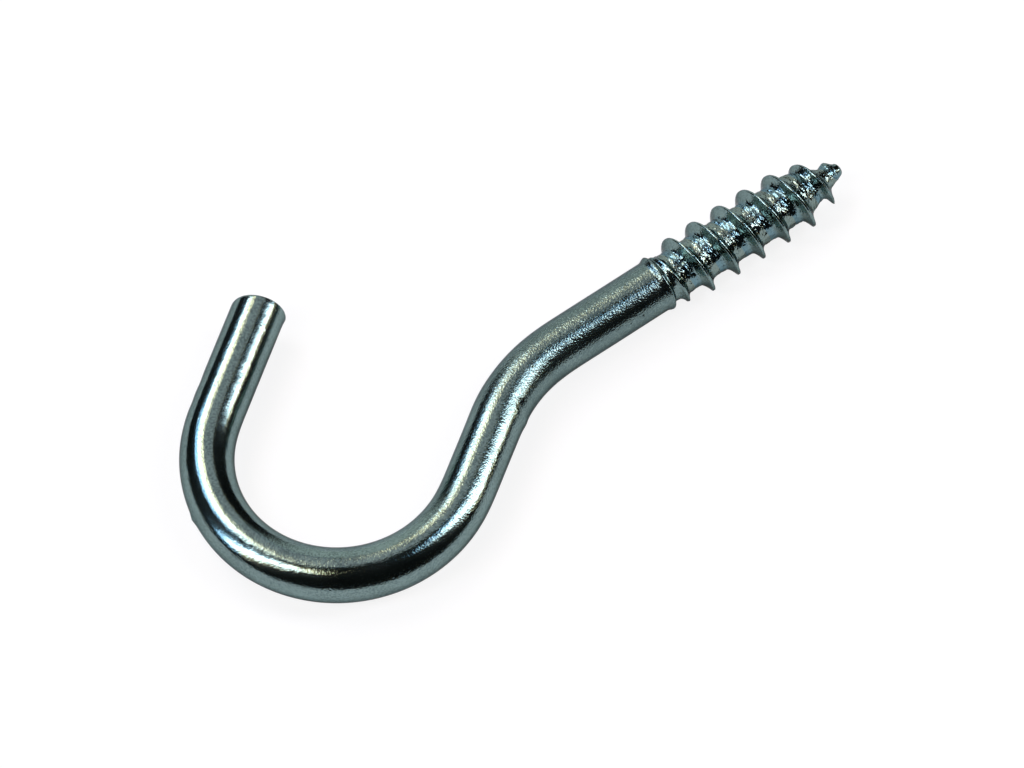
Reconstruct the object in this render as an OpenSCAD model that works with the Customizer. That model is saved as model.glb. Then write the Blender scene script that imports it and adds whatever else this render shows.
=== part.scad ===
// Open screw hook, bent from one length of plated steel wire with a coarse
// wood-screw thread rolled on its straight end.
//
// The screw's axis is the X axis, with the tip towards +X. The plain shank ends and the
// thread starts at the origin. The hook is bent in the XY plane and lies flat on its side.
// Lengths are in millimetres and angles in degrees.

/* [Wire] */
// Diameter of the wire that the hook is bent from
wire_d = 3.8; // [3:0.1:5]
// How much the wire's radius shrinks where a bend stretches it
bend_thinning = 0.02; // [0.02:0.005:0.05]

/* [Thread] */
// Length of the thread, from the end of the plain shank to the tip
thread_length = 15.5; // [10:0.5:25]
// Advance of the thread in one turn
pitch = 2.14; // [1.6:0.02:2.8]
// How far the crest stands out of the wire's surface
crest_rise = 0.55; // [0.3:0.05:0.9]
// How far the root lies below the wire's surface
root_drop = 0.22; // [0.1:0.02:0.4]
// Width of the land along the crest
crest_width = 0.16; // [0.08:0.02:0.3]
// Width of the hollow flank that faces the shank
back_flank_width = 0.5; // [0.3:0.05:0.6]
// Width of the hollow flank that faces the tip
front_flank_width = 0.34; // [0.2:0.02:0.5]
// Share of the tooth's height that is left halfway down a flank
flank_hollow = 0.3; // [0.2:0.05:0.5]
// Where the crest crosses the end of the shank, as an angle about the screw's axis
crest_start_angle = 32; // [-180:2:180]
// Length over which the thread grows to its full height
thread_run_in = 3.2; // [1:0.2:5]
// Length over which the thread sinks away at the tip
thread_run_out = 1.6; // [0.8:0.2:3]

/* [Point] */
// Length of the tapering point
point_length = 3.7; // [2:0.1:6]
// Diameter of the blunt tip
tip_d = 0.8; // [0.4:0.1:1.4]
// Length of the rounding on the blunt tip
tip_round = 0.3; // [0.1:0.05:0.6]

/* [Shank] */
// Length of the plain straight shank
shank_length = 8.5; // [3:0.1:30]
// How far the lip at the end of the shank stands out of the wire's surface
lip_rise = 0.13; // [0.05:0.01:0.25]
// Width of the lip's crown
lip_width = 0.3; // [0.1:0.05:0.6]
// Length of the slope from the shank up to the lip's crown
lip_back_slope = 0.6; // [0.3:0.1:1.2]
// Length of the slope from the lip's crown down to the thread's root
lip_front_slope = 0.35; // [0.2:0.05:0.8]

/* [Neck] */
// Radius of the neck bend at the middle of the wire
neck_bend_r = 11.1; // [6:0.1:20]
// Angle that the neck turns through, away from the screw's axis
neck_angle = 35; // [15:0.2:50]
// Straight length between the neck bend and the bowl
neck_straight = 6.2; // [2:0.1:12]

/* [Bowl] */
// Radius of the bowl at the middle of the wire
bowl_bend_r = 9.15; // [6:0.05:16]
// Angle that the bowl turns through, back towards the screw
bowl_angle = 179.2; // [150:0.2:200]

/* [Free end] */
// Straight length of the free end, along the middle of the wire
free_end_length = 9; // [4:0.1:16]
// Lean of the cropped end's face
crop_angle = 8; // [0:1:30]
// Radius of the crown on the cropped face
crop_crown_r = 9; // [6:0.5:20]

/* [Hidden] */

$fn = 96;
steps_per_turn = 36;
wire_r = wire_d / 2;
root_r = wire_r - root_drop;
tip_r = tip_d / 2;
tip_flat = 0.6; // share of the tip's radius that is left on its flat end
tooth_height = crest_rise + root_drop;
point_start = thread_length - point_length;

// A thinned bend reaches a little way inside the full-size runs at both its ends, so that
// the runs join as one solid.
bend_lap = 0.03;

// The thread's body starts inside the shank, so that its first turn is covered.
thread_start = -1.2;
ridge_start = -0.6;
ridge_end = thread_length - 0.3;

// ---- Thread -------------------------------------------------------------------------

function limit(v) = min(1, max(0, v));
function ease(v) = let (c = limit(v)) c * c * (3 - 2 * c);

// Radius between the teeth: even along the thread, tapering over the point, and
// rounded over the blunt tip.
function taper_r(x) = root_r + (tip_r - root_r) * limit((x - point_start) / point_length);
function core_r(x) =
    let (left = limit((thread_length - x) / tip_round))
    taper_r(x) * (tip_flat + (1 - tip_flat) * sqrt(left * (2 - left)));

// Height of the tooth, which grows out of the shank and sinks away at the tip.
function tooth_h(x) =
    tooth_height * ease((x - ridge_start) / thread_run_in) * ease((ridge_end - x) / thread_run_out);

// The tooth's section over one pitch, as [place across the pitch, share of the height].
crest_half = crest_width / 2;
back_foot = pitch / 2 - crest_half - back_flank_width;
front_foot = pitch / 2 + crest_half + front_flank_width;
tooth_section = [
    [0, 0],
    [back_foot, 0],
    [back_foot + back_flank_width / 2, flank_hollow],
    [pitch / 2 - crest_half, 1],
    [pitch / 2 + crest_half, 1],
    [front_foot - front_flank_width / 2, flank_hollow],
    [front_foot, 0]
];
columns = len(tooth_section);

// The surface is one strip, a pitch wide, wound round the axis. Row i is the section at
// one angle. The first and last turns narrow to nothing at the two flat ends.
body_length = thread_length - thread_start;
turns = body_length / pitch;
last_full_row = floor(turns * steps_per_turn);
advance = body_length / last_full_row;
band = advance * steps_per_turn;
last_row = last_full_row + steps_per_turn - 1;

function row_low(i) = max(thread_start, thread_start + advance * (i - steps_per_turn));
function row_high(i) = min(thread_length, thread_start + advance * i);
function row_angle(i) =
    crest_start_angle + 360 * (thread_start + advance * (i - steps_per_turn / 2)) / band;
function on_surface(x, angle, r) = [x, r * cos(angle), r * sin(angle)];
function row_point(i, j) =
    let (x = row_low(i) + (row_high(i) - row_low(i)) * tooth_section[j][0] / pitch)
    on_surface(x, row_angle(i), core_r(x) + tooth_h(x) * tooth_section[j][1]);

// Number of the point in row i and column j. The last column is the next turn's first,
// or the rim of the tip's flat end.
function point_at(i, j) =
    j < columns ? (i - 1) * columns + j
    : i < last_full_row ? point_at(i + steps_per_turn, 0)
    : last_row * columns + i - last_full_row;

module thread() {
    strip_points = [for (i = [1:last_row], j = [0:columns - 1]) row_point(i, j)];
    rim_points = [
        for (i = [last_full_row:last_row])
            on_surface(thread_length, row_angle(i), core_r(thread_length))
    ];
    first_corner = point_at(steps_per_turn, 0);
    last_corner = point_at(last_full_row, columns);
    side_faces = [
        for (i = [1:last_row - 1], j = [0:columns - 1])
            let (
                a = point_at(i, j),
                b = point_at(i, j + 1),
                c = point_at(i + 1, j + 1),
                d = point_at(i + 1, j)
            )
            each [[a, b, c], [a, c, d]]
    ];
    first_faces = [for (j = [0:columns - 1]) [first_corner, point_at(1, j + 1), point_at(1, j)]];
    last_faces = [
        for (j = [0:columns - 1]) [last_corner, point_at(last_row, j), point_at(last_row, j + 1)]
    ];
    flat_start = [for (i = [1:steps_per_turn]) point_at(i, 0)];
    flat_tip = [for (i = [last_row:-1:last_full_row]) point_at(i, columns)];
    polyhedron(
        points = concat(strip_points, rim_points),
        faces = concat(side_faces, first_faces, last_faces, [flat_start, flat_tip]),
        convexity = 10
    );
}

// ---- Wire ---------------------------------------------------------------------------

// The plain shank and the rounded lip that the thread rolls up at its end.
module shank() {
    crown_start = -lip_width / 2;
    crown_end = lip_width / 2;
    lip_r = wire_r + lip_rise;
    rotate([0, 90, 0])
        rotate_extrude()
            polygon([
                [0, -shank_length],
                [wire_r, -shank_length],
                [wire_r, crown_start - lip_back_slope],
                [lip_r, crown_start],
                [lip_r, crown_end],
                [root_r - root_drop / 2, crown_end + lip_front_slope],
                [0, crown_end + lip_front_slope]
            ]);
}

// A straight run along +X. What follows it goes on from its end.
module straight_run(length) {
    rotate([0, 90, 0])
        cylinder(r = wire_r, h = length);
    translate([length, 0, 0])
        children();
}

// A bend of the wire to the left of +X, by turn = 1, or to the right, by turn = -1.
module bend_run(bend_r, angle, turn) {
    lap_angle = bend_lap / bend_r * 180 / PI;
    translate([0, turn * bend_r, 0])
        mirror([0, turn < 0 ? 1 : 0, 0])
            rotate([0, 0, -90 - lap_angle])
                rotate_extrude(angle = angle + 2 * lap_angle)
                    translate([bend_r, 0])
                        circle(r = wire_r - bend_thinning);
    translate([0, turn * bend_r, 0])
        rotate([0, 0, turn * angle])
            translate([0, -turn * bend_r, 0])
                children();
}

// The straight free end, cropped at a lean with a slightly crowned face.
module free_end() {
    difference() {
        rotate([0, 90, 0])
            cylinder(r = wire_r, h = free_end_length + wire_d);
        translate([free_end_length, 0, 0])
            rotate([0, crop_angle, 0])
                difference() {
                    translate([-wire_r, -wire_d, -2 * wire_d])
                        cube([3 * wire_d, 2 * wire_d, 4 * wire_d]);
                    translate([-crop_crown_r, 0, 0])
                        sphere(r = crop_crown_r);
                }
    }
}

module screw_hook() {
    color([0.62, 0.66, 0.67])
        union() {
            thread();
            shank();
            translate([-shank_length, 0, 0])
                rotate([0, 0, 180])
                    bend_run(neck_bend_r, neck_angle, 1)
                        straight_run(neck_straight)
                            bend_run(bowl_bend_r, bowl_angle, -1)
                                free_end();
        }
}

screw_hook();
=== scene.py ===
import math

import bpy
import numpy as np
from mathutils import Matrix, Vector


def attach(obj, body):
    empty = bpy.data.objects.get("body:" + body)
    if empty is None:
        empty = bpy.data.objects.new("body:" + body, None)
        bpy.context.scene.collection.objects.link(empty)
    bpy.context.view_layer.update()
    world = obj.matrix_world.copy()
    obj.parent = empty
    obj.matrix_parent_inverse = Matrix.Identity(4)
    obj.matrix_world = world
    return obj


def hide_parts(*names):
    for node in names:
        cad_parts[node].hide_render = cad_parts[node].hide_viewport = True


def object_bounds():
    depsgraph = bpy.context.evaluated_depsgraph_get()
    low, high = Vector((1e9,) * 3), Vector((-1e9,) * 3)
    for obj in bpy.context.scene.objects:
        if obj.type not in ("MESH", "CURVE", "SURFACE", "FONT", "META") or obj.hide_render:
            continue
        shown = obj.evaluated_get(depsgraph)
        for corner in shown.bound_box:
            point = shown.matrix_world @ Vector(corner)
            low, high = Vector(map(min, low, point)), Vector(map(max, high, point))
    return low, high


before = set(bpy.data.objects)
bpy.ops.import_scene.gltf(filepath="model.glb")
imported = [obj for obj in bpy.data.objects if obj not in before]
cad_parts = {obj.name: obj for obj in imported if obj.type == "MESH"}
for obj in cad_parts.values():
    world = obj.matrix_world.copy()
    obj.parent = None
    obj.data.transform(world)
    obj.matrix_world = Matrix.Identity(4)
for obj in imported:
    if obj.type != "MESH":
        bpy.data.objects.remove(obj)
CAD_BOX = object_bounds()

bl_info = {
    "name": "Plated Screw Hook",
    "version": (1, 0, 0),
    "blender": (4, 5, 0),
    "location": "3D View > Sidebar > Screw Hook",
    "description": "Bends a screw hook from steel wire, rolls its thread and plates it",
    "category": "Add Mesh",
}

# The wire is worked out straight and then laid along its bent middle line. A place on it
# has a station, which is the length along the wire from where the plain shank meets the
# thread: positive on the thread and negative on the hook. It also has an angle about the
# wire, which is 0 on the inside of the bowl and 90 degrees on top.

# How finely the surface is cut: steps round the wire, columns across one turn of the
# thread, and rings along the bent wire, over the cropped rim, and over the two ends.
ROUND_STEPS = 132
TURN_COLUMNS = 48
WIRE_RINGS = 240
RIM_RINGS = 8
FACE_RINGS = 12
TIP_RINGS = 10

# The thread's strip starts a little inside the plain shank, behind the lip.
STRIP_START = -0.0014

# Length over which one bend of the middle line eases into the next.
BEND_EASING = 0.003

# How far the middle line goes on beyond the screw's tip and beyond the cropped end, and
# the step between its points.
TIP_ALLOWANCE = 0.001
CROP_ALLOWANCE = 0.003
LINE_STEP = 0.0001

# Stations where something sets in, each with the length that it takes to grow in full.
LIP_BACK = (-0.0004, 0.00045)
LIP_FRONT = (0.00008, 0.0003)
SHIFT_IN = (STRIP_START, 0.0013)
SHIFT_OUT = (-0.0001, 0.0026)
LATE_WEAR = (0.009, 0.003)
CRUMPLED_ROOT = (0.0004, 0.0004)
PLATED_ROOT = (0.0003, 0.0005)
GRAINY_WIRE = (-0.05, 0.03)
DULL_SHANK = (-0.017, 0.005)
SHANK_END = (0.0002, 0.0004)

# Where the thread's ridge starts, and how far short of the tip it stops.
RIDGE_START = -0.0006
RIDGE_GAP = 0.0003

# How steeply the hollow flanks drop, and the low swelling that is left between the teeth.
BACK_HOLLOW = 1.65
FRONT_HOLLOW = 2.3
FOOT_CURVE = 1.5
FOOT_SHARE = 0.12

# The side of the thread that is worn, in degrees, and the wear that all turns have there.
WORN_SIDE = 25
LEAST_WEAR = 0.06

# Lengths of the crumpling in the root and of the wire's waver, how far the crumpling is
# drawn out along the wire, and how near a pole both fade out, so that the poles stay closed.
CRUMPLE_LENGTH = 0.0006
WAVER_LENGTH = 0.004
CRUMPLE_STRETCH = 0.6
POLE_REACH = 0.0003

# How much less than its middle value the cropped rim is rounded on the inner side, and how
# far the crop's lean reaches up the wire.
RIM_UNEVENNESS = 0.85
CROP_REACH = 0.004


# ---- Settings ---------------------------------------------------------------------------


def size(name, default, description):
    return bpy.props.FloatProperty(
        name=name, description=description, default=default, min=0, precision=5, unit="LENGTH"
    )


def turn(name, degrees, description):
    return bpy.props.FloatProperty(
        name=name, description=description, default=math.radians(degrees), subtype="ANGLE"
    )


def share(name, default, description):
    return bpy.props.FloatProperty(
        name=name, description=description, default=default, min=0, max=1, subtype="FACTOR"
    )


def tint(name, default, description):
    return bpy.props.FloatVectorProperty(
        name=name, description=description, default=default, min=0, max=1, subtype="COLOR"
    )


class WireSettings(bpy.types.PropertyGroup):
    """Sizes of the wire and of its bends, in order from the thread to the free end."""

    wire_diameter: size("Wire Diameter", 0.0038, "Diameter of the wire")
    wire_waver: size("Wire Waver", 0.00001, "How far the drawn wire's surface wanders in and out")
    shank_length: size("Shank Length", 0.0085, "Length of the plain straight shank")
    neck_radius: size("Neck Radius", 0.0111, "Radius of the neck bend")
    neck_angle: turn("Neck Angle", 35, "Angle that the neck turns through")
    neck_length: size("Neck Length", 0.0062, "Straight length between the neck and the bowl")
    bowl_radius: size("Bowl Radius", 0.00915, "Radius of the bowl")
    bowl_angle: turn("Bowl Angle", 179.2, "Angle that the bowl turns through")
    free_length: size("Free Length", 0.00885, "Straight length of the free end")
    crop_lean: turn("Crop Lean", 8, "How far the cropped end leans, its top side longer")
    crop_skew: turn("Crop Skew", 4.5, "How far the cropped end turns, its inner side longer")
    rim_rounding: size("Rim Rounding", 0.0002, "Rounding round the cropped end")
    face_crown: size("Face Crown", 0.00012, "How far the cropped end bulges")


class ThreadSettings(bpy.types.PropertyGroup):
    """Sizes of the rolled thread."""

    thread_length: size("Thread Length", 0.0155, "Length of the thread from the shank to the tip")
    pitch: size("Pitch", 0.00214, "Advance of the thread in one turn")
    crest_rise: size("Crest Rise", 0.00055, "How far the crest stands out of the wire's surface")
    root_drop: size("Root Drop", 0.00022, "How far the root lies below the wire's surface")
    crest_width: size("Crest Width", 0.00014, "Width of the land along the crest")
    back_flank: size("Back Flank", 0.00052, "Width of the flank that faces the shank")
    front_flank: size("Front Flank", 0.00046, "Width of the flank that faces the tip")
    start_angle: turn("Start Angle", 32, "Where the crest crosses the end of the shank")
    run_in: size("Run In", 0.0032, "Length over which the thread grows to its full height")
    run_out: size("Run Out", 0.002, "Length over which the thread sinks away at the tip")
    point_length: size("Point Length", 0.0037, "Length of the tapering point")
    tip_diameter: size("Tip Diameter", 0.0008, "Diameter of the blunt tip")
    tip_rounding: size("Tip Rounding", 0.0003, "Length of the rounding on the blunt tip")
    lip_rise: size("Lip Rise", 0.00013, "How far the lip stands out at the end of the shank")
    start_shift: size("Start Shift", 0.00036, "How far the first turn is pushed to the tip")
    crest_wear: share("Crest Wear", 0.2, "How much lower the last turns are on one side")
    crumple: size("Crumple", 0.00022, "How far the rolled root is crumpled in and out")


class PlatingSettings(bpy.types.PropertyGroup):
    """Look of the plated surface."""

    zinc: tint("Zinc", (0.25, 0.36, 0.34), "Colour of the plating")
    worn_zinc: tint("Worn Zinc", (0.15, 0.22, 0.21), "Colour of the plating's dull patches")
    # The blue and the yellow tint below are painted colour fringes of the reflections in the
    # root.
    blue_zinc: tint("Blue Fringe Tint", (0.15, 0.3, 0.36), "Colour of the painted blue fringe in the root")
    straw_zinc: tint("Straw Fringe Tint", (0.3, 0.36, 0.29), "Colour of the root's other side")
    roughness: share("Roughness", 0.15, "Roughness of the drawn wire")
    grain: size("Grain", 0.00003, "Depth of the fine grain")
    root_crumple: size("Root Crumple", 0.0001, "Depth of the fine crumpling in the root")


class StageSettings(bpy.types.PropertyGroup):
    """Look of the floor and the light."""

    floor_tint: tint("Floor", (0.68, 0.69, 0.69), "Colour of the floor")
    lamp_level: bpy.props.FloatProperty(
        name="Lamp Level", description="Brightness of the softboxes", default=6.8, min=0
    )


# ---- Nodes written as arithmetic --------------------------------------------------------


class Amount:
    """A number worked out by a node tree. Arithmetic on it adds the nodes."""

    def __init__(self, tree, socket):
        self.tree = tree
        self.socket = socket

    def __add__(self, other):
        return maths("ADD", self, other)

    def __radd__(self, other):
        return maths("ADD", other, self)

    def __sub__(self, other):
        return maths("SUBTRACT", self, other)

    def __rsub__(self, other):
        return maths("SUBTRACT", other, self)

    def __mul__(self, other):
        return maths("MULTIPLY", self, other)

    def __rmul__(self, other):
        return maths("MULTIPLY", other, self)

    def __truediv__(self, other):
        return maths("DIVIDE", self, other)

    def __pow__(self, other):
        return maths("POWER", self, other)

    def __neg__(self):
        return maths("MULTIPLY", self, -1.0)


def feed(tree, value, socket):
    """Links a node's output to an input socket, or sets the socket to a plain value."""
    if isinstance(value, Amount):
        value = value.socket
    if isinstance(value, bpy.types.NodeSocket):
        tree.links.new(value, socket)
    else:
        socket.default_value = value


def add_node(tree, kind, inputs=None, **settings):
    """A new node with these settings. Its inputs are set or linked by name or number."""
    node = tree.nodes.new(kind)
    for name, value in settings.items():
        setattr(node, name, value)
    for name, value in (inputs or {}).items():
        feed(tree, value, node.inputs[name])
    return node


def maths(operation, *values):
    tree = next(v.tree for v in values if isinstance(v, Amount))
    node = add_node(tree, "ShaderNodeMath", dict(enumerate(values)), operation=operation)
    return Amount(tree, node.outputs[0])


def vector_maths(tree, operation, *values):
    node = add_node(tree, "ShaderNodeVectorMath", dict(enumerate(values)), operation=operation)
    return node.outputs[0]


def joined(tree, x, y, z):
    """A vector made of three numbers."""
    return add_node(tree, "ShaderNodeCombineXYZ", {0: x, 1: y, 2: z}).outputs[0]


def limited(amount, low=0.0, high=1.0):
    return maths("MINIMUM", maths("MAXIMUM", amount, low), high)


def eased(amount):
    """Runs smoothly from 0 to 1 as the amount does, and stays at 0 and 1 outside."""
    held = limited(amount)
    return held * held * (3.0 - 2.0 * held)


def risen(amount, start, length):
    """Runs smoothly from 0 at the start to 1 a length further on."""
    return eased((amount - start) / length)


def through(amount, places):
    """Follows straight lines from place to place, each given as (amount, result)."""
    result = places[0][1]
    for (start, low), (end, high) in zip(places, places[1:]):
        result = result + limited((amount - start) / (end - start)) * (high - low)
    return result


def wandering(tree, place, length, detail, seed):
    """Smooth random noise about zero, between -0.5 and 0.5, that changes over this length."""
    inputs = {"Vector": place, "W": seed, "Scale": 1.0 / length, "Detail": detail}
    node = add_node(tree, "ShaderNodeTexNoise", inputs, noise_dimensions="4D")
    return Amount(tree, node.outputs[0]) - 0.5


def stretched(tree, place, along):
    """The place with its station shortened, so that noise read there is drawn out."""
    return vector_maths(tree, "MULTIPLY", place, (1.0 / along, 1.0, 1.0))


def spread_out(tree):
    """Sets the nodes in columns, each to the right of the nodes that feed it."""
    column = {}
    for node in tree.nodes:
        pending = [node]
        while pending:
            last = pending[-1]
            feeders = [link.from_node for link in tree.links if link.to_node == last]
            waiting = [feeder for feeder in feeders if feeder.name not in column]
            if waiting:
                pending.extend(waiting)
            else:
                column[last.name] = 1 + max((column[f.name] for f in feeders), default=0)
                pending.pop()
    rows = {}
    for node in tree.nodes:
        place = column[node.name]
        rows[place] = rows.get(place, 0) + 1
        node.location = (200 * place, -180 * rows[place])


# ---- Shape of the straight wire ---------------------------------------------------------


def tooth_share(sizes, station, angle):
    """Share of the thread's height at a place: 1 on the crest's land and 0 between turns."""
    crest_station = sizes["Pitch"] * (angle - sizes["Start Angle"]) / math.tau
    half_pitch = sizes["Pitch"] / 2.0
    place = maths("WRAP", station - crest_station, half_pitch, -half_pitch)
    half_land = sizes["Crest Width"] / 2.0
    back = 1.0 - limited((-place - half_land) / sizes["Back Flank"])
    front = 1.0 - limited((place - half_land) / sizes["Front Flank"])
    sharp = back ** BACK_HOLLOW * front ** FRONT_HOLLOW
    foot = (1.0 - maths("ABSOLUTE", place) / half_pitch) ** FOOT_CURVE
    return sharp + FOOT_SHARE * foot * (1.0 - sharp)


def surface(sizes, station, angle, tooth):
    """Radius of the wire at a place where the thread has this share of its height."""
    wire = sizes["Wire Diameter"] / 2.0
    root = wire - sizes["Root Drop"]
    tip = sizes["Tip Diameter"] / 2.0
    point_start = sizes["Thread Length"] - sizes["Point Length"]
    tapered = root + (tip - root) * limited((station - point_start) / sizes["Point Length"])
    lip = wire + sizes["Lip Rise"] * risen(station, *LIP_BACK)
    core = lip + (tapered - lip) * risen(station, *LIP_FRONT)
    grown = risen(station, RIDGE_START, sizes["Run In"])
    left = eased((sizes["Thread Length"] - RIDGE_GAP - station) / sizes["Run Out"])
    one_side = 0.5 + 0.5 * maths("COSINE", angle - math.radians(WORN_SIDE))
    worn = one_side * (LEAST_WEAR + sizes["Crest Wear"] * risen(station, *LATE_WEAR))
    height = (sizes["Crest Rise"] + sizes["Root Drop"]) * grown * left * (1.0 - worn)
    return core + height * tooth + knocks(station, angle, core)


# Knocks and tool marks on the wire, each by its name, station, angle, reach along the wire
# and round it, and how far it stands out. Lengths here are in millimetres, and angles in
# degrees.
KNOCKS = [
    ("neck crease", -14.3, 142, 0.28, 0.7, -0.07),
    ("neck heel", -14.9, 178, 0.45, 0.9, 0.07),
    ("neck back", -14.6, 0, 1.4, 1.2, 0.04),
    ("bowl pip", -43.1, -172, 0.28, 0.5, 0.09),
    ("first flat", -50.6, -178, 0.5, 1.2, -0.04),
    ("second flat", -52.2, -178, 0.6, 1.2, -0.04),
    ("crop burr", -59.3, -15, 0.5, 0.6, 0.08),
    ("root pit", 1.8, 100, 0.16, 0.2, -0.12),
    ("last burr", 13.75, 205, 0.16, 0.3, 0.3),
    ("tip waist", 13.95, 25, 0.28, 0.55, -0.16),
    ("tip knob", 14.65, 25, 0.32, 0.5, 0.2),
]


def knocks(station, angle, radius):
    """How far all the knocks together move the surface out at a place."""
    moved = 0.0
    for _, place, bearing, along, around, rise in KNOCKS:
        ahead = (station - place / 1000) / (along / 1000)
        swing = maths("WRAP", angle - math.radians(bearing), math.pi, -math.pi)
        aside = swing * radius / (around / 1000)
        closeness = maths("EXPONENT", -(ahead * ahead) - aside * aside)
        moved = moved + closeness * (rise / 1000)
    return moved


def straight_place(tree, station, angle, radius):
    """The place as a point on the wire laid out straight."""
    across = radius * maths("COSINE", angle)
    up = radius * maths("SINE", angle)
    return joined(tree, station, across, up)


def laid_on_path(tree, sizes, mesh, path, station, angle, radius, tooth):
    """Moves a grid's points onto the bent wire, and keeps where they are on it."""
    place = straight_place(tree, station, angle, radius)
    drawn_out = stretched(tree, place, CRUMPLE_STRETCH)
    crumpled = wandering(tree, drawn_out, CRUMPLE_LENGTH, detail=2.0, seed=1.0)
    crumpled = crumpled * (1.0 - tooth) * risen(station, *CRUMPLED_ROOT)
    wavered = wandering(tree, place, WAVER_LENGTH, detail=1.0, seed=2.0) * 2.0
    uneven = crumpled * sizes["Crumple"] + wavered * sizes["Wire Waver"]
    moved = radius + uneven * limited(radius / POLE_REACH)
    across = moved * maths("COSINE", angle)
    up = moved * maths("SINE", angle)
    reach = sizes["Thread Length"] + TIP_ALLOWANCE - station
    sample = add_node(
        tree, "GeometryNodeSampleCurve", {"Curves": path, "Length": reach}, mode="LENGTH"
    )
    inward = vector_maths(tree, "CROSS_PRODUCT", sample.outputs["Tangent"], (0, 0, 1))
    sideways = add_node(
        tree, "ShaderNodeVectorMath", {0: inward, "Scale": across}, operation="SCALE"
    ).outputs[0]
    offset = vector_maths(tree, "ADD", sideways, joined(tree, 0.0, 0.0, up))
    position = vector_maths(tree, "ADD", sample.outputs["Position"], offset)
    for name, kind, value in (("straight", "FLOAT_VECTOR", place), ("tooth", "FLOAT", tooth)):
        stored = add_node(tree, "GeometryNodeStoreNamedAttribute", data_type=kind, domain="POINT")
        feed(tree, mesh, stored.inputs["Geometry"])
        feed(tree, name, stored.inputs["Name"])
        feed(tree, value, stored.inputs["Value"])
        mesh = stored.outputs[0]
    return add_node(
        tree, "GeometryNodeSetPosition", {"Geometry": mesh, "Position": position}
    ).outputs[0]


def grid(tree, rows, columns):
    """A grid of points, and the row and column of each as numbers."""
    mesh = add_node(tree, "GeometryNodeMeshGrid", {"Vertices X": rows, "Vertices Y": columns})
    index = Amount(tree, add_node(tree, "GeometryNodeInputIndex").outputs[0])
    row = maths("FLOOR", index / float(columns))
    return mesh.outputs["Mesh"], row, index - row * float(columns)


def thread_strip(tree, sizes, path):
    """The thread, as one strip a pitch wide that is wound round the wire."""
    end = sizes["Thread Length"] - sizes["Tip Rounding"]
    advance = sizes["Pitch"] / ROUND_STEPS
    rows = maths("CEIL", (end - STRIP_START) / advance) + float(ROUND_STEPS + 1)
    mesh, row, column = grid(tree, rows, TURN_COLUMNS + 1)
    middle = STRIP_START + advance * (row - ROUND_STEPS / 2)
    angle = sizes["Start Angle"] + math.tau * middle / sizes["Pitch"]
    half_land = sizes["Crest Width"] / 2.0
    # Each entry is a share of the columns and how far from the crest's middle it reaches.
    across = through(
        column / TURN_COLUMNS,
        [
            (0.0, -sizes["Pitch"] / 2.0),
            (0.25, -half_land - sizes["Back Flank"]),
            (0.48, -half_land),
            (0.56, half_land),
            (0.79, half_land + sizes["Front Flank"]),
            (1.0, sizes["Pitch"] / 2.0),
        ],
    )
    level = limited(middle + across, STRIP_START, end)
    tooth = tooth_share(sizes, level, angle)
    pushed = risen(level, *SHIFT_IN) * (1.0 - risen(level, *SHIFT_OUT))
    station = level + sizes["Start Shift"] * pushed
    radius = surface(sizes, station, angle, tooth)
    return laid_on_path(tree, sizes, mesh, path, station, angle, radius, tooth)


def step_angle(sizes, step):
    """Angle of a numbered step round the wire, in line with the steps of the strip."""
    middle = STRIP_START - sizes["Pitch"] / 2.0
    first = sizes["Start Angle"] + math.tau * middle / sizes["Pitch"]
    return first + step * (math.tau / ROUND_STEPS)


def bent_wire(tree, sizes, path, length):
    """The plain wire from the thread's strip to the middle of the cropped end."""
    rings = WIRE_RINGS + RIM_RINGS + FACE_RINGS
    mesh, ring, step = grid(tree, rings + 1, ROUND_STEPS + 1)
    angle = step_angle(sizes, step)
    inner = maths("COSINE", angle)
    top = maths("SINE", angle)
    rounding = sizes["Rim Rounding"] * (1.0 - RIM_UNEVENNESS * inner)
    along = limited(ring / WIRE_RINGS)
    over_rim = limited((ring - WIRE_RINGS) / RIM_RINGS) * (math.pi / 2)
    outward = 1.0 - limited((ring - (WIRE_RINGS + RIM_RINGS)) / FACE_RINGS)
    side_station = STRIP_START + (rounding - length - STRIP_START) * along
    tooth = 0.0 * angle
    radius = surface(sizes, side_station, angle, tooth)
    radius = (radius - rounding * (1.0 - maths("COSINE", over_rim))) * outward
    crown = sizes["Face Crown"] * (1.0 - outward * outward)
    lean = maths("TANGENT", sizes["Crop Lean"]) * top
    skew = maths("TANGENT", sizes["Crop Skew"]) * inner
    near_end = eased((-side_station - length + CROP_REACH) / CROP_REACH)
    slanted = (lean + skew) * radius * near_end
    station = side_station - rounding * maths("SINE", over_rim) - crown - slanted
    return laid_on_path(tree, sizes, mesh, path, station, angle, radius, tooth)


def blunt_tip(tree, sizes, path):
    """The rounded cap on the screw's tip."""
    mesh, step, ring = grid(tree, ROUND_STEPS + 1, TIP_RINGS + 1)
    angle = step_angle(sizes, step)
    end = sizes["Thread Length"] - sizes["Tip Rounding"]
    tooth = tooth_share(sizes, end, angle)
    radius = surface(sizes, end, angle, tooth)
    over = ring / TIP_RINGS * (math.pi / 2)
    station = end + sizes["Tip Rounding"] * maths("SINE", over)
    return laid_on_path(
        tree, sizes, mesh, path, station, angle, radius * maths("COSINE", over), tooth
    )


def named_inputs(tree, values):
    """Gives the tree an input for each named size, and returns the inputs by name."""
    tree.interface.new_socket("Path", in_out="INPUT", socket_type="NodeSocketGeometry")
    for name, value in values.items():
        socket = tree.interface.new_socket(name, in_out="INPUT", socket_type="NodeSocketFloat")
        socket.default_value = value
    tree.interface.new_socket("Plating", in_out="INPUT", socket_type="NodeSocketMaterial")
    tree.interface.new_socket("Hook", in_out="OUTPUT", socket_type="NodeSocketGeometry")
    group = add_node(tree, "NodeGroupInput")
    sizes = {name: Amount(tree, group.outputs[name]) for name in values}
    return group, sizes


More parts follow.
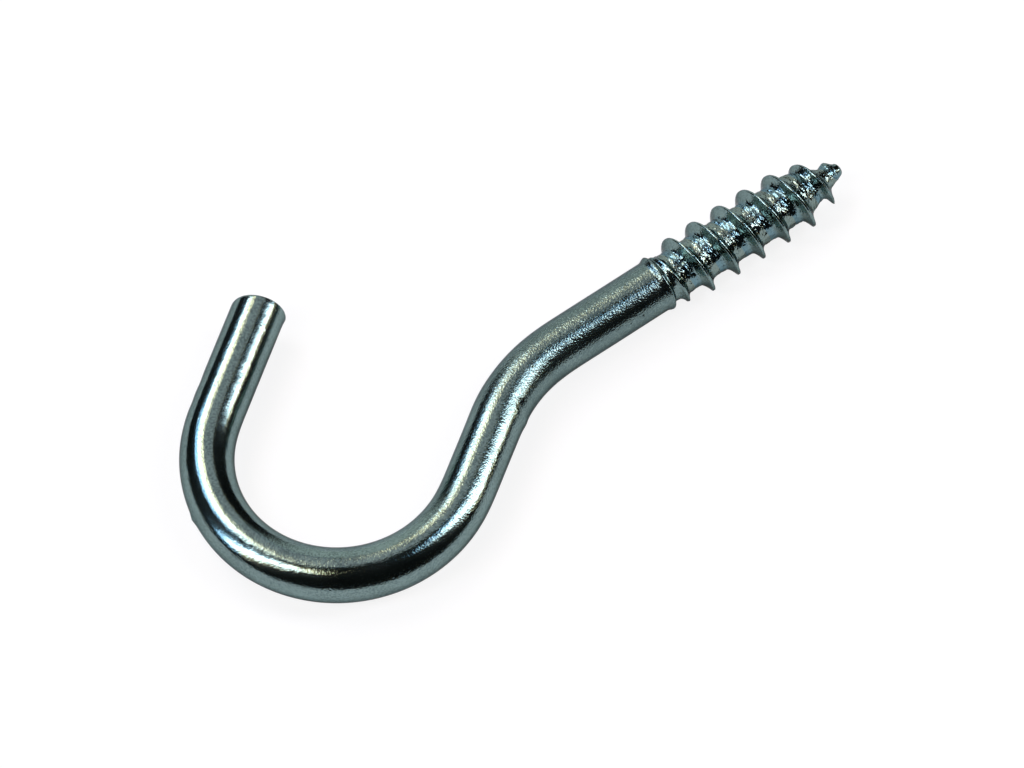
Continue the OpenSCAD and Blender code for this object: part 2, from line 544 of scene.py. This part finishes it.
def rolled_wire_tree(values):
    """Turns a path into a wire laid along it, with the thread rolled on its first end."""
    tree = bpy.data.node_groups.new("Rolled wire", "GeometryNodeTree")
    group, sizes = named_inputs(tree, values)
    path = group.outputs["Path"]
    wire = [
        thread_strip(tree, sizes, path),
        bent_wire(tree, sizes, path, sizes["Hook Length"]),
        blunt_tip(tree, sizes, path),
    ]
    together = add_node(tree, "GeometryNodeJoinGeometry")
    for part in wire:
        tree.links.new(part, together.inputs[0])
    welded = add_node(
        tree, "GeometryNodeMergeByDistance", {"Geometry": together.outputs[0], "Distance": 1e-6}
    )
    smooth = add_node(tree, "GeometryNodeSetShadeSmooth", {"Geometry": welded.outputs[0]})
    real = add_node(tree, "GeometryNodeRealizeInstances", {"Geometry": smooth.outputs[0]})
    plated = add_node(
        tree,
        "GeometryNodeSetMaterial",
        {"Geometry": real.outputs[0], "Material": group.outputs["Plating"]},
    )
    add_node(tree, "NodeGroupOutput", {"Hook": plated.outputs[0]})
    spread_out(tree)
    return tree


# ---- Middle line ------------------------------------------------------------------------


def hook_length(wire):
    """Length along the wire from the thread to the middle of the cropped end."""
    return (
        wire.shank_length
        + wire.neck_radius * wire.neck_angle
        + wire.neck_length
        + wire.bowl_radius * wire.bowl_angle
        + wire.free_length
    )


def middle_line(wire, thread):
    """Points along the middle of the bent wire, from beyond the tip to past the free end."""
    tip = thread.thread_length + TIP_ALLOWANCE
    reach = np.arange(0, tip + hook_length(wire) + CROP_ALLOWANCE, LINE_STEP)
    heading = np.full(len(reach), math.pi)
    start = tip + wire.shank_length
    for radius, angle, side, straight in (
        (wire.neck_radius, wire.neck_angle, 1, wire.neck_length),
        (wire.bowl_radius, wire.bowl_angle, -1, 0),
    ):
        length = radius * angle
        heading += side * angle * np.clip((reach - start) / length, 0, 1)
        start += length + straight
    window = round(BEND_EASING / LINE_STEP)
    padded = np.pad(heading, window // 2, mode="edge")
    smoothed = np.convolve(padded, np.ones(window) / window, mode="same")
    heading = smoothed[window // 2 :][: len(reach)]
    across = np.cumsum(np.cos(heading)) * LINE_STEP
    along = np.cumsum(np.sin(heading)) * LINE_STEP
    return np.column_stack([tip + across - across[0], along - along[0], np.zeros(len(reach))])


def path_object(points):
    """The middle line as a curve object for the node tree to work on."""
    curve = bpy.data.curves.new("wire_path", "CURVE")
    curve.dimensions = "3D"
    line = curve.splines.new("POLY")
    line.points.add(len(points) - 1)
    line.points.foreach_set("co", np.column_stack([points, np.ones(len(points))]).ravel())
    path = bpy.data.objects.new("wire_path", curve)
    bpy.context.scene.collection.objects.link(path)
    return path


# ---- Plating ----------------------------------------------------------------------------


def blended(tree, amount, first, second):
    """A colour between two others, which are plain colours or sockets."""
    inputs = {"Factor": limited(amount)}
    node = add_node(tree, "ShaderNodeMix", inputs, data_type="RGBA")
    for value, socket in ((first, node.inputs[6]), (second, node.inputs[7])):
        feed(tree, value, socket)
    return node.outputs[2]


def dimples(tree, place, spacing, reach, amount):
    """Small round dimples, 1 at their middles, at a share of random places."""
    cells = add_node(
        tree, "ShaderNodeTexVoronoi", {"Vector": place, "Scale": 1.0 / spacing}
    )
    nearness = 1.0 - eased(Amount(tree, cells.outputs["Distance"]) * (spacing / reach))
    parts = add_node(tree, "ShaderNodeSeparateColor", {0: cells.outputs["Color"]})
    return nearness * maths("GREATER_THAN", Amount(tree, parts.outputs[0]), 1.0 - amount)


# Lengths over which the plating's patterns change.
PATCH_LENGTH = 0.0022
SPECKLE_LENGTH = 0.00013
GRAIN_LENGTH = 0.00011
DRAWN_LENGTH = 0.00016
PEEL_LENGTH = 0.0008
CRUMPLING_LENGTH = 0.00048

# Spacing, size and depth of the dimples, and the share of places that have one.
DIMPLE_SPACING = 0.0008
DIMPLE_REACH = 0.00013
DIMPLE_DEPTH = 0.00003
DIMPLE_SHARE = 0.4

# How far the drawing lines and the crumpling are drawn out along the wire.
DRAWN_STRETCH = 16.0
CRUMPLING_STRETCH = 0.45

# How much of its reflection the metal keeps where it is seen at a glancing angle.
EDGE_TINT = (0.45, 0.45, 0.45, 1.0)

# How much the duller zinc shows everywhere, and what the shank, the patches and the
# speckles add.
WORN_ALL = 0.3
WORN_SHANK = 0.45
WORN_PATCHES = 1.6
WORN_SPECKLES = 3.0

# Where the root's two painted tints set in, from the middle of the crest, and the length that
# they take to grow in full, both as shares of the pitch, and how strong the tints are. The tints
# are painted colour fringes of the reflections: blue towards the shank and yellow towards the
# tip.
FRINGE_SIDE = (0.1, 0.3)
BLUE_FRINGE_STRENGTH = 0.6
YELLOW_FRINGE_STRENGTH = 0.35

# How strong the grain is everywhere, and what the grainy wire and the shank add.
GRAIN_ALL = 0.2
GRAIN_WIRE = 0.35
GRAIN_SHANK = 0.35

# How strong the drawing lines and the peel are beside the grain.
DRAWN_STRENGTH = 0.2
PEEL_STRENGTH = 0.5

# How much rougher the shank is, and how much smoother the root and the patches are.
SHANK_ROUGHER = 0.04
ROOT_SMOOTHER = 0.03
PATCHES_SMOOTHER = 0.08


def stored(tree, name, output):
    """What laid_on_path has stored on the surface under this name."""
    return add_node(
        tree, "ShaderNodeAttribute", attribute_type="GEOMETRY", attribute_name=name
    ).outputs[output]


def plating_regions(tree, place, thread):
    """How much a place belongs to the root, the grainy wire and the shank, and where it
    lies across the turn of the thread."""
    tooth = Amount(tree, stored(tree, "tooth", "Fac"))
    parts = add_node(tree, "ShaderNodeSeparateXYZ", {0: place})
    station = Amount(tree, parts.outputs[0])
    angle = maths("ARCTAN2", Amount(tree, parts.outputs[2]), Amount(tree, parts.outputs[1]))
    crest = (angle - thread.start_angle) * (thread.pitch / math.tau)
    across = maths("WRAP", station - crest, thread.pitch / 2, -thread.pitch / 2) / thread.pitch
    rooted = risen(station, *PLATED_ROOT) * (1.0 - eased(tooth * 3.0))
    grainy = risen(station, *GRAINY_WIRE)
    shank = risen(station, *DULL_SHANK) * (1.0 - risen(station, *SHANK_END))
    return rooted, grainy, shank, across


def plating_colour(tree, plating, place, patches, rooted, shank, across):
    """Zinc with dull patches, and painted reflection fringes in the root: blue on the side of
    each crest towards the shank and yellow on the side towards the tip.
    """
    speckle = wandering(tree, place, SPECKLE_LENGTH, detail=1.0, seed=13.0)
    worn = WORN_ALL + shank * WORN_SHANK + patches * WORN_PATCHES + speckle * WORN_SPECKLES
    colour = blended(tree, worn, (*plating.zinc, 1.0), (*plating.worn_zinc, 1.0))
    # Painted reflection fringes: blue on the side of each crest towards the shank, yellow towards
    # the tip.
    painted_blue = rooted * risen(-across, *FRINGE_SIDE) * BLUE_FRINGE_STRENGTH
    colour = blended(tree, painted_blue, colour, (*plating.blue_zinc, 1.0))
    painted_yellow = rooted * risen(across, *FRINGE_SIDE) * YELLOW_FRINGE_STRENGTH
    return blended(tree, painted_yellow, colour, (*plating.straw_zinc, 1.0))


def plating_relief(tree, plating, place, rooted, grainy, shank):
    """Height of the grain, the drawing lines, the crumpling in the root and the dimples."""
    grain = wandering(tree, place, GRAIN_LENGTH, detail=1.0, seed=3.0)
    grain = grain * (GRAIN_ALL + GRAIN_WIRE * grainy + GRAIN_SHANK * shank)
    lines = stretched(tree, place, DRAWN_STRETCH)
    drawn = wandering(tree, lines, DRAWN_LENGTH, detail=1.0, seed=5.0) * DRAWN_STRENGTH
    peel = wandering(tree, place, PEEL_LENGTH, detail=1.0, seed=7.0) * PEEL_STRENGTH
    fine = (grain + drawn + peel) * plating.grain
    squeezed = stretched(tree, place, CRUMPLING_STRETCH)
    crumpled = wandering(tree, squeezed, CRUMPLING_LENGTH, detail=2.0, seed=9.0)
    crumpled = crumpled * rooted * plating.root_crumple
    specks = dimples(tree, place, DIMPLE_SPACING, DIMPLE_REACH, DIMPLE_SHARE)
    return fine + crumpled + specks * (0.3 + shank) * DIMPLE_DEPTH


def plating_material(plating, thread):
    """Zinc plate: grainy on the shank, drawn on the bowl and crumpled between the teeth."""
    material = bpy.data.materials.new("zinc_plated_steel")
    material.use_nodes = True
    tree = material.node_tree
    place = stored(tree, "straight", "Vector")
    rooted, grainy, shank, across = plating_regions(tree, place, thread)
    patches = wandering(tree, place, PATCH_LENGTH, detail=3.0, seed=11.0)
    colour = plating_colour(tree, plating, place, patches, rooted, shank, across)
    relief = plating_relief(tree, plating, place, rooted, grainy, shank)
    heights = {"Strength": 1.0, "Distance": 1.0, "Height": relief}
    bump = add_node(tree, "ShaderNodeBump", heights)
    roughness = plating.roughness + SHANK_ROUGHER * shank - ROOT_SMOOTHER * rooted
    roughness = roughness - patches * PATCHES_SMOOTHER

    shader = tree.nodes["Principled BSDF"]
    shader.inputs["Metallic"].default_value = 1.0
    shader.inputs["Specular Tint"].default_value = EDGE_TINT
    feed(tree, colour, shader.inputs["Base Color"])
    feed(tree, roughness, shader.inputs["Roughness"])
    feed(tree, bump.outputs[0], shader.inputs["Normal"])
    spread_out(tree)
    return material


# ---- Making the hook --------------------------------------------------------------------


def named_sizes(*groups):
    """The sizes in these settings by their plain names, such as Wire Diameter."""
    return {
        item.name: getattr(group, item.identifier)
        for group in groups
        for item in group.bl_rna.properties
        if item.type == "FLOAT"
    }


class SCREWHOOK_OT_hook(bpy.types.Operator):
    """Bends the wire, rolls the thread on it and plates it"""

    bl_idname = "screwhook.hook"
    bl_label = "Screw Hook"

    def execute(self, context):
        wire = context.scene.hook_wire
        thread = context.scene.hook_thread
        plating = plating_material(context.scene.hook_plating, thread)
        path = path_object(middle_line(wire, thread))
        sizes = named_sizes(wire, thread)
        sizes["Hook Length"] = hook_length(wire)
        tree = rolled_wire_tree(sizes)
        modifier = path.modifiers.new("Rolled wire", "NODES")
        modifier.node_group = tree
        for item in tree.interface.items_tree:
            if item.name in sizes:
                modifier[item.identifier] = sizes[item.name]
            if item.name == "Plating":
                modifier[item.identifier] = plating
        depsgraph = context.evaluated_depsgraph_get()
        mesh = bpy.data.meshes.new_from_object(
            path.evaluated_get(depsgraph), preserve_all_data_layers=True, depsgraph=depsgraph
        )
        bpy.data.objects.remove(path)
        if not mesh.polygons:
            raise RuntimeError("the node tree made no wire")
        mesh.name = "screw_hook_wire"
        hook = bpy.data.objects.new("screw_hook_wire", mesh)
        context.scene.collection.objects.link(hook)
        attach(hook, "root")
        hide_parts("screw_hook")
        return {"FINISHED"}


# ---- Stage ------------------------------------------------------------------------------

# The place near the neck that the camera and all the lamps face.
AIM = Vector((-0.0126, -0.00044, 0.0))

# Each softbox by its name, bearing, tilt from overhead, width and height as they look from
# the hook, and lean, all in degrees, then its share of the lamp level and how far its
# colours are shifted apart.
SOFTBOXES = [
    ("left softbox", 173, 45, 14, 54, -15, 1.0, 0.075),
    ("back softbox", 103, 36, 36, 22, 50, 0.85, 0.075),
    ("right softbox", -32, 47, 15, 43, 6, 1.05, 0.065),
    ("top fill", 59, 26, 34, 50, -68, 0.08, 0.02),
]

# Every softbox has two panes: name, the side it is shifted to, and colour.
PANES = [
    ("cool pane", -1, (0.3, 0.46, 0.72)),
    ("warm pane", 1, (0.68, 0.48, 0.3)),
]
LAMP_DISTANCE = 2.5

# The bearing that the warm panes are shifted towards, and the cool panes away from.
WARM_BEARING = -35

# How much the floor glows to the camera and in the metal, the share of its colour that the
# camera sees, where the metal shows all of it, and how far it reaches to each side.
FLOOR_GLOW = 0.85
GLOW_IN_METAL = 0.05
FLOOR_SHADE = 0.25
FLOOR_REACH = 6

# The pale part of the room by its bearing, width and least tilt from overhead, in degrees.
PALE_WALL = (66, 44, 49)

# How far its edges fade to either side: the sides in radians, and the top as a rise on a
# sphere of radius 1.
WALL_SIDE = 0.1
WALL_TOP = 0.08

# The light of the dark room, and how much the pale wall adds to it.
ROOM_LIGHT = 0.01
WALL_LIGHT = 0.7

# The camera's lens in millimetres, its distance, and its angles in degrees.
CAMERA_LENS = 281.25
CAMERA_DISTANCE = 0.5487
CAMERA_BEARING = -120.5
CAMERA_TILT = 28
CAMERA_ROLL = 32.5


def direction(bearing, tilt):
    """The direction at this bearing and tilt from overhead, both in degrees."""
    azimuth, lean = math.radians(bearing), math.radians(tilt)
    return Vector(
        (math.sin(lean) * math.cos(azimuth), math.sin(lean) * math.sin(azimuth), math.cos(lean))
    )


def add_pane(name, facing, wide, tall, level, colour):
    """A rectangular lamp that faces the hook, as wide and tall as it looks in degrees."""
    lamp = bpy.data.lights.new(name, "AREA")
    lamp.shape = "RECTANGLE"
    lamp.size = 2 * LAMP_DISTANCE * math.tan(math.radians(wide / 2))
    lamp.size_y = 2 * LAMP_DISTANCE * math.tan(math.radians(tall / 2))
    lamp.energy = level * lamp.size * lamp.size_y * math.pi
    lamp.color = colour
    place = bpy.data.objects.new(name, lamp)
    outward = facing @ Vector((0, 0, LAMP_DISTANCE))
    place.matrix_world = Matrix.Translation(AIM + outward) @ facing
    bpy.context.scene.collection.objects.link(place)


def add_softbox(name, bearing, tilt, wide, tall, lean, level, shift):
    """A softbox of two panes, shifted apart so that one edge is cool and the other warm."""
    for pane, side, colour in PANES:
        outward = direction(bearing, tilt) + direction(WARM_BEARING, 90) * shift * side
        outward.normalize()
        sideways = Vector((0, 0, 1)).cross(outward).normalized()
        facing = Matrix((sideways, outward.cross(sideways), outward)).transposed().to_4x4()
        facing = facing @ Matrix.Rotation(math.radians(lean), 4, "Z")
        add_pane(f"{name} {pane}", facing, wide, tall, level, colour)


def add_world():
    """A dark room with one pale wall."""
    world = bpy.data.worlds.new("studio")
    bpy.context.scene.world = world
    world.use_nodes = True
    tree = world.node_tree
    tree.nodes.clear()
    bearing, width, tilt = map(math.radians, PALE_WALL)
    view = add_node(tree, "ShaderNodeTexCoord").outputs["Generated"]
    parts = add_node(tree, "ShaderNodeSeparateXYZ", {0: view})
    across = Amount(tree, parts.outputs["X"])
    along = Amount(tree, parts.outputs["Y"])
    height = Amount(tree, parts.outputs["Z"])
    azimuth = maths("ARCTAN2", along, across)
    aside = maths("ABSOLUTE", azimuth - bearing)
    wide = 1.0 - eased((aside - width / 2 + WALL_SIDE) / (2 * WALL_SIDE))
    low = 1.0 - eased((height - math.cos(tilt) + WALL_TOP) / (2 * WALL_TOP))
    paleness = ROOM_LIGHT + WALL_LIGHT * wide * low
    light = add_node(tree, "ShaderNodeBackground", {"Color": (1, 1, 1, 1), "Strength": paleness})
    add_node(tree, "ShaderNodeOutputWorld", {"Surface": light.outputs[0]})
    spread_out(tree)


def add_floor(colour):
    """A wide floor, white to the camera and pale in the metal, that takes the shadow."""
    mesh = bpy.data.meshes.new("floor")
    low = CAD_BOX[0].z
    signs = [(-1, -1), (1, -1), (1, 1), (-1, 1)]
    corners = [(FLOOR_REACH * x, FLOOR_REACH * y, low) for x, y in signs]
    mesh.from_pydata(corners, [], [(0, 1, 2, 3)])
    floor = bpy.data.objects.new("floor", mesh)
    material = bpy.data.materials.new("pale_floor")
    material.use_nodes = True
    tree = material.node_tree
    shader = tree.nodes["Principled BSDF"]
    shader.inputs["Roughness"].default_value = 1.0
    shader.inputs["Specular IOR Level"].default_value = 0.0
    shader.inputs["Emission Color"].default_value = (1.0, 1.0, 1.0, 1.0)
    path = add_node(tree, "ShaderNodeLightPath")
    seen = Amount(tree, path.outputs["Is Camera Ray"])
    mirrored = Amount(tree, path.outputs["Is Glossy Ray"])
    mirrored = mirrored + Amount(tree, path.outputs["Is Transmission Ray"])
    glow = seen * FLOOR_GLOW + limited(mirrored) * GLOW_IN_METAL
    feed(tree, glow, shader.inputs["Emission Strength"])
    shaded = [channel * FLOOR_SHADE for channel in colour]
    tinted = blended(tree, seen, (*colour, 1.0), (*shaded, 1.0))
    feed(tree, tinted, shader.inputs["Base Color"])
    spread_out(tree)
    mesh.materials.append(material)
    bpy.context.scene.collection.objects.link(floor)


def add_camera():
    """A camera with a long lens, above the hook and rolled so that the screw points up."""
    camera = bpy.data.cameras.new("camera")
    camera.sensor_width = 36
    camera.lens = CAMERA_LENS
    camera.clip_start = 0.1
    camera.clip_end = 20
    roll = math.radians(CAMERA_ROLL)
    back = direction(CAMERA_BEARING, CAMERA_TILT)
    level = Vector((1, 0, 0))
    level = (level - back * level.dot(back)).normalized()
    raised = back.cross(level)
    right = level * math.cos(roll) - raised * math.sin(roll)
    up = level * math.sin(roll) + raised * math.cos(roll)
    place = bpy.data.objects.new("camera", camera)
    axes = Matrix((right, up, back)).transposed().to_4x4()
    place.matrix_world = Matrix.Translation(AIM + back * CAMERA_DISTANCE) @ axes
    bpy.context.scene.collection.objects.link(place)
    bpy.context.scene.camera = place


class SCREWHOOK_OT_stage(bpy.types.Operator):
    """Adds the floor, the softboxes, the room and the camera"""

    bl_idname = "screwhook.stage"
    bl_label = "Stage"

    def execute(self, context):
        look = context.scene.hook_stage
        context.scene.view_settings.view_transform = "Standard"
        add_floor(look.floor_tint)
        for name, bearing, tilt, wide, tall, lean, level, shift in SOFTBOXES:
            level = level * look.lamp_level
            add_softbox(name, bearing, tilt, wide, tall, lean, level, shift)
        add_world()
        add_camera()
        return {"FINISHED"}


# ---- Panel and registration -------------------------------------------------------------


class SCREWHOOK_PT_panel(bpy.types.Panel):
    """Lists what the add-on makes, with its sizes and colours"""

    bl_idname = "SCREWHOOK_PT_panel"
    bl_label = "Screw Hook"
    bl_space_type = "VIEW_3D"
    bl_region_type = "UI"
    bl_category = "Screw Hook"

    def draw(self, context):
        for operator, groups in MAKERS:
            box = self.layout.box()
            box.operator(operator)
            for group in groups:
                settings = getattr(context.scene, group)
                for item in settings.bl_rna.properties:
                    if item.type == "FLOAT":
                        box.prop(settings, item.identifier)


SETTINGS = {
    "hook_wire": WireSettings,
    "hook_thread": ThreadSettings,
    "hook_plating": PlatingSettings,
    "hook_stage": StageSettings,
}
MAKERS = [
    ("screwhook.hook", ["hook_wire", "hook_thread", "hook_plating"]),
    ("screwhook.stage", ["hook_stage"]),
]
CLASSES = [*SETTINGS.values(), SCREWHOOK_OT_hook, SCREWHOOK_OT_stage, SCREWHOOK_PT_panel]


def register():
    for kind in CLASSES:
        bpy.utils.register_class(kind)
    for name, kind in SETTINGS.items():
        setattr(bpy.types.Scene, name, bpy.props.PointerProperty(type=kind))


def unregister():
    for name in SETTINGS:
        delattr(bpy.types.Scene, name)
    for kind in reversed(CLASSES):
        bpy.utils.unregister_class(kind)


def main():
    register()
    bpy.ops.screwhook.hook()
    bpy.ops.screwhook.stage()


if __name__ == "__main__":
    main()
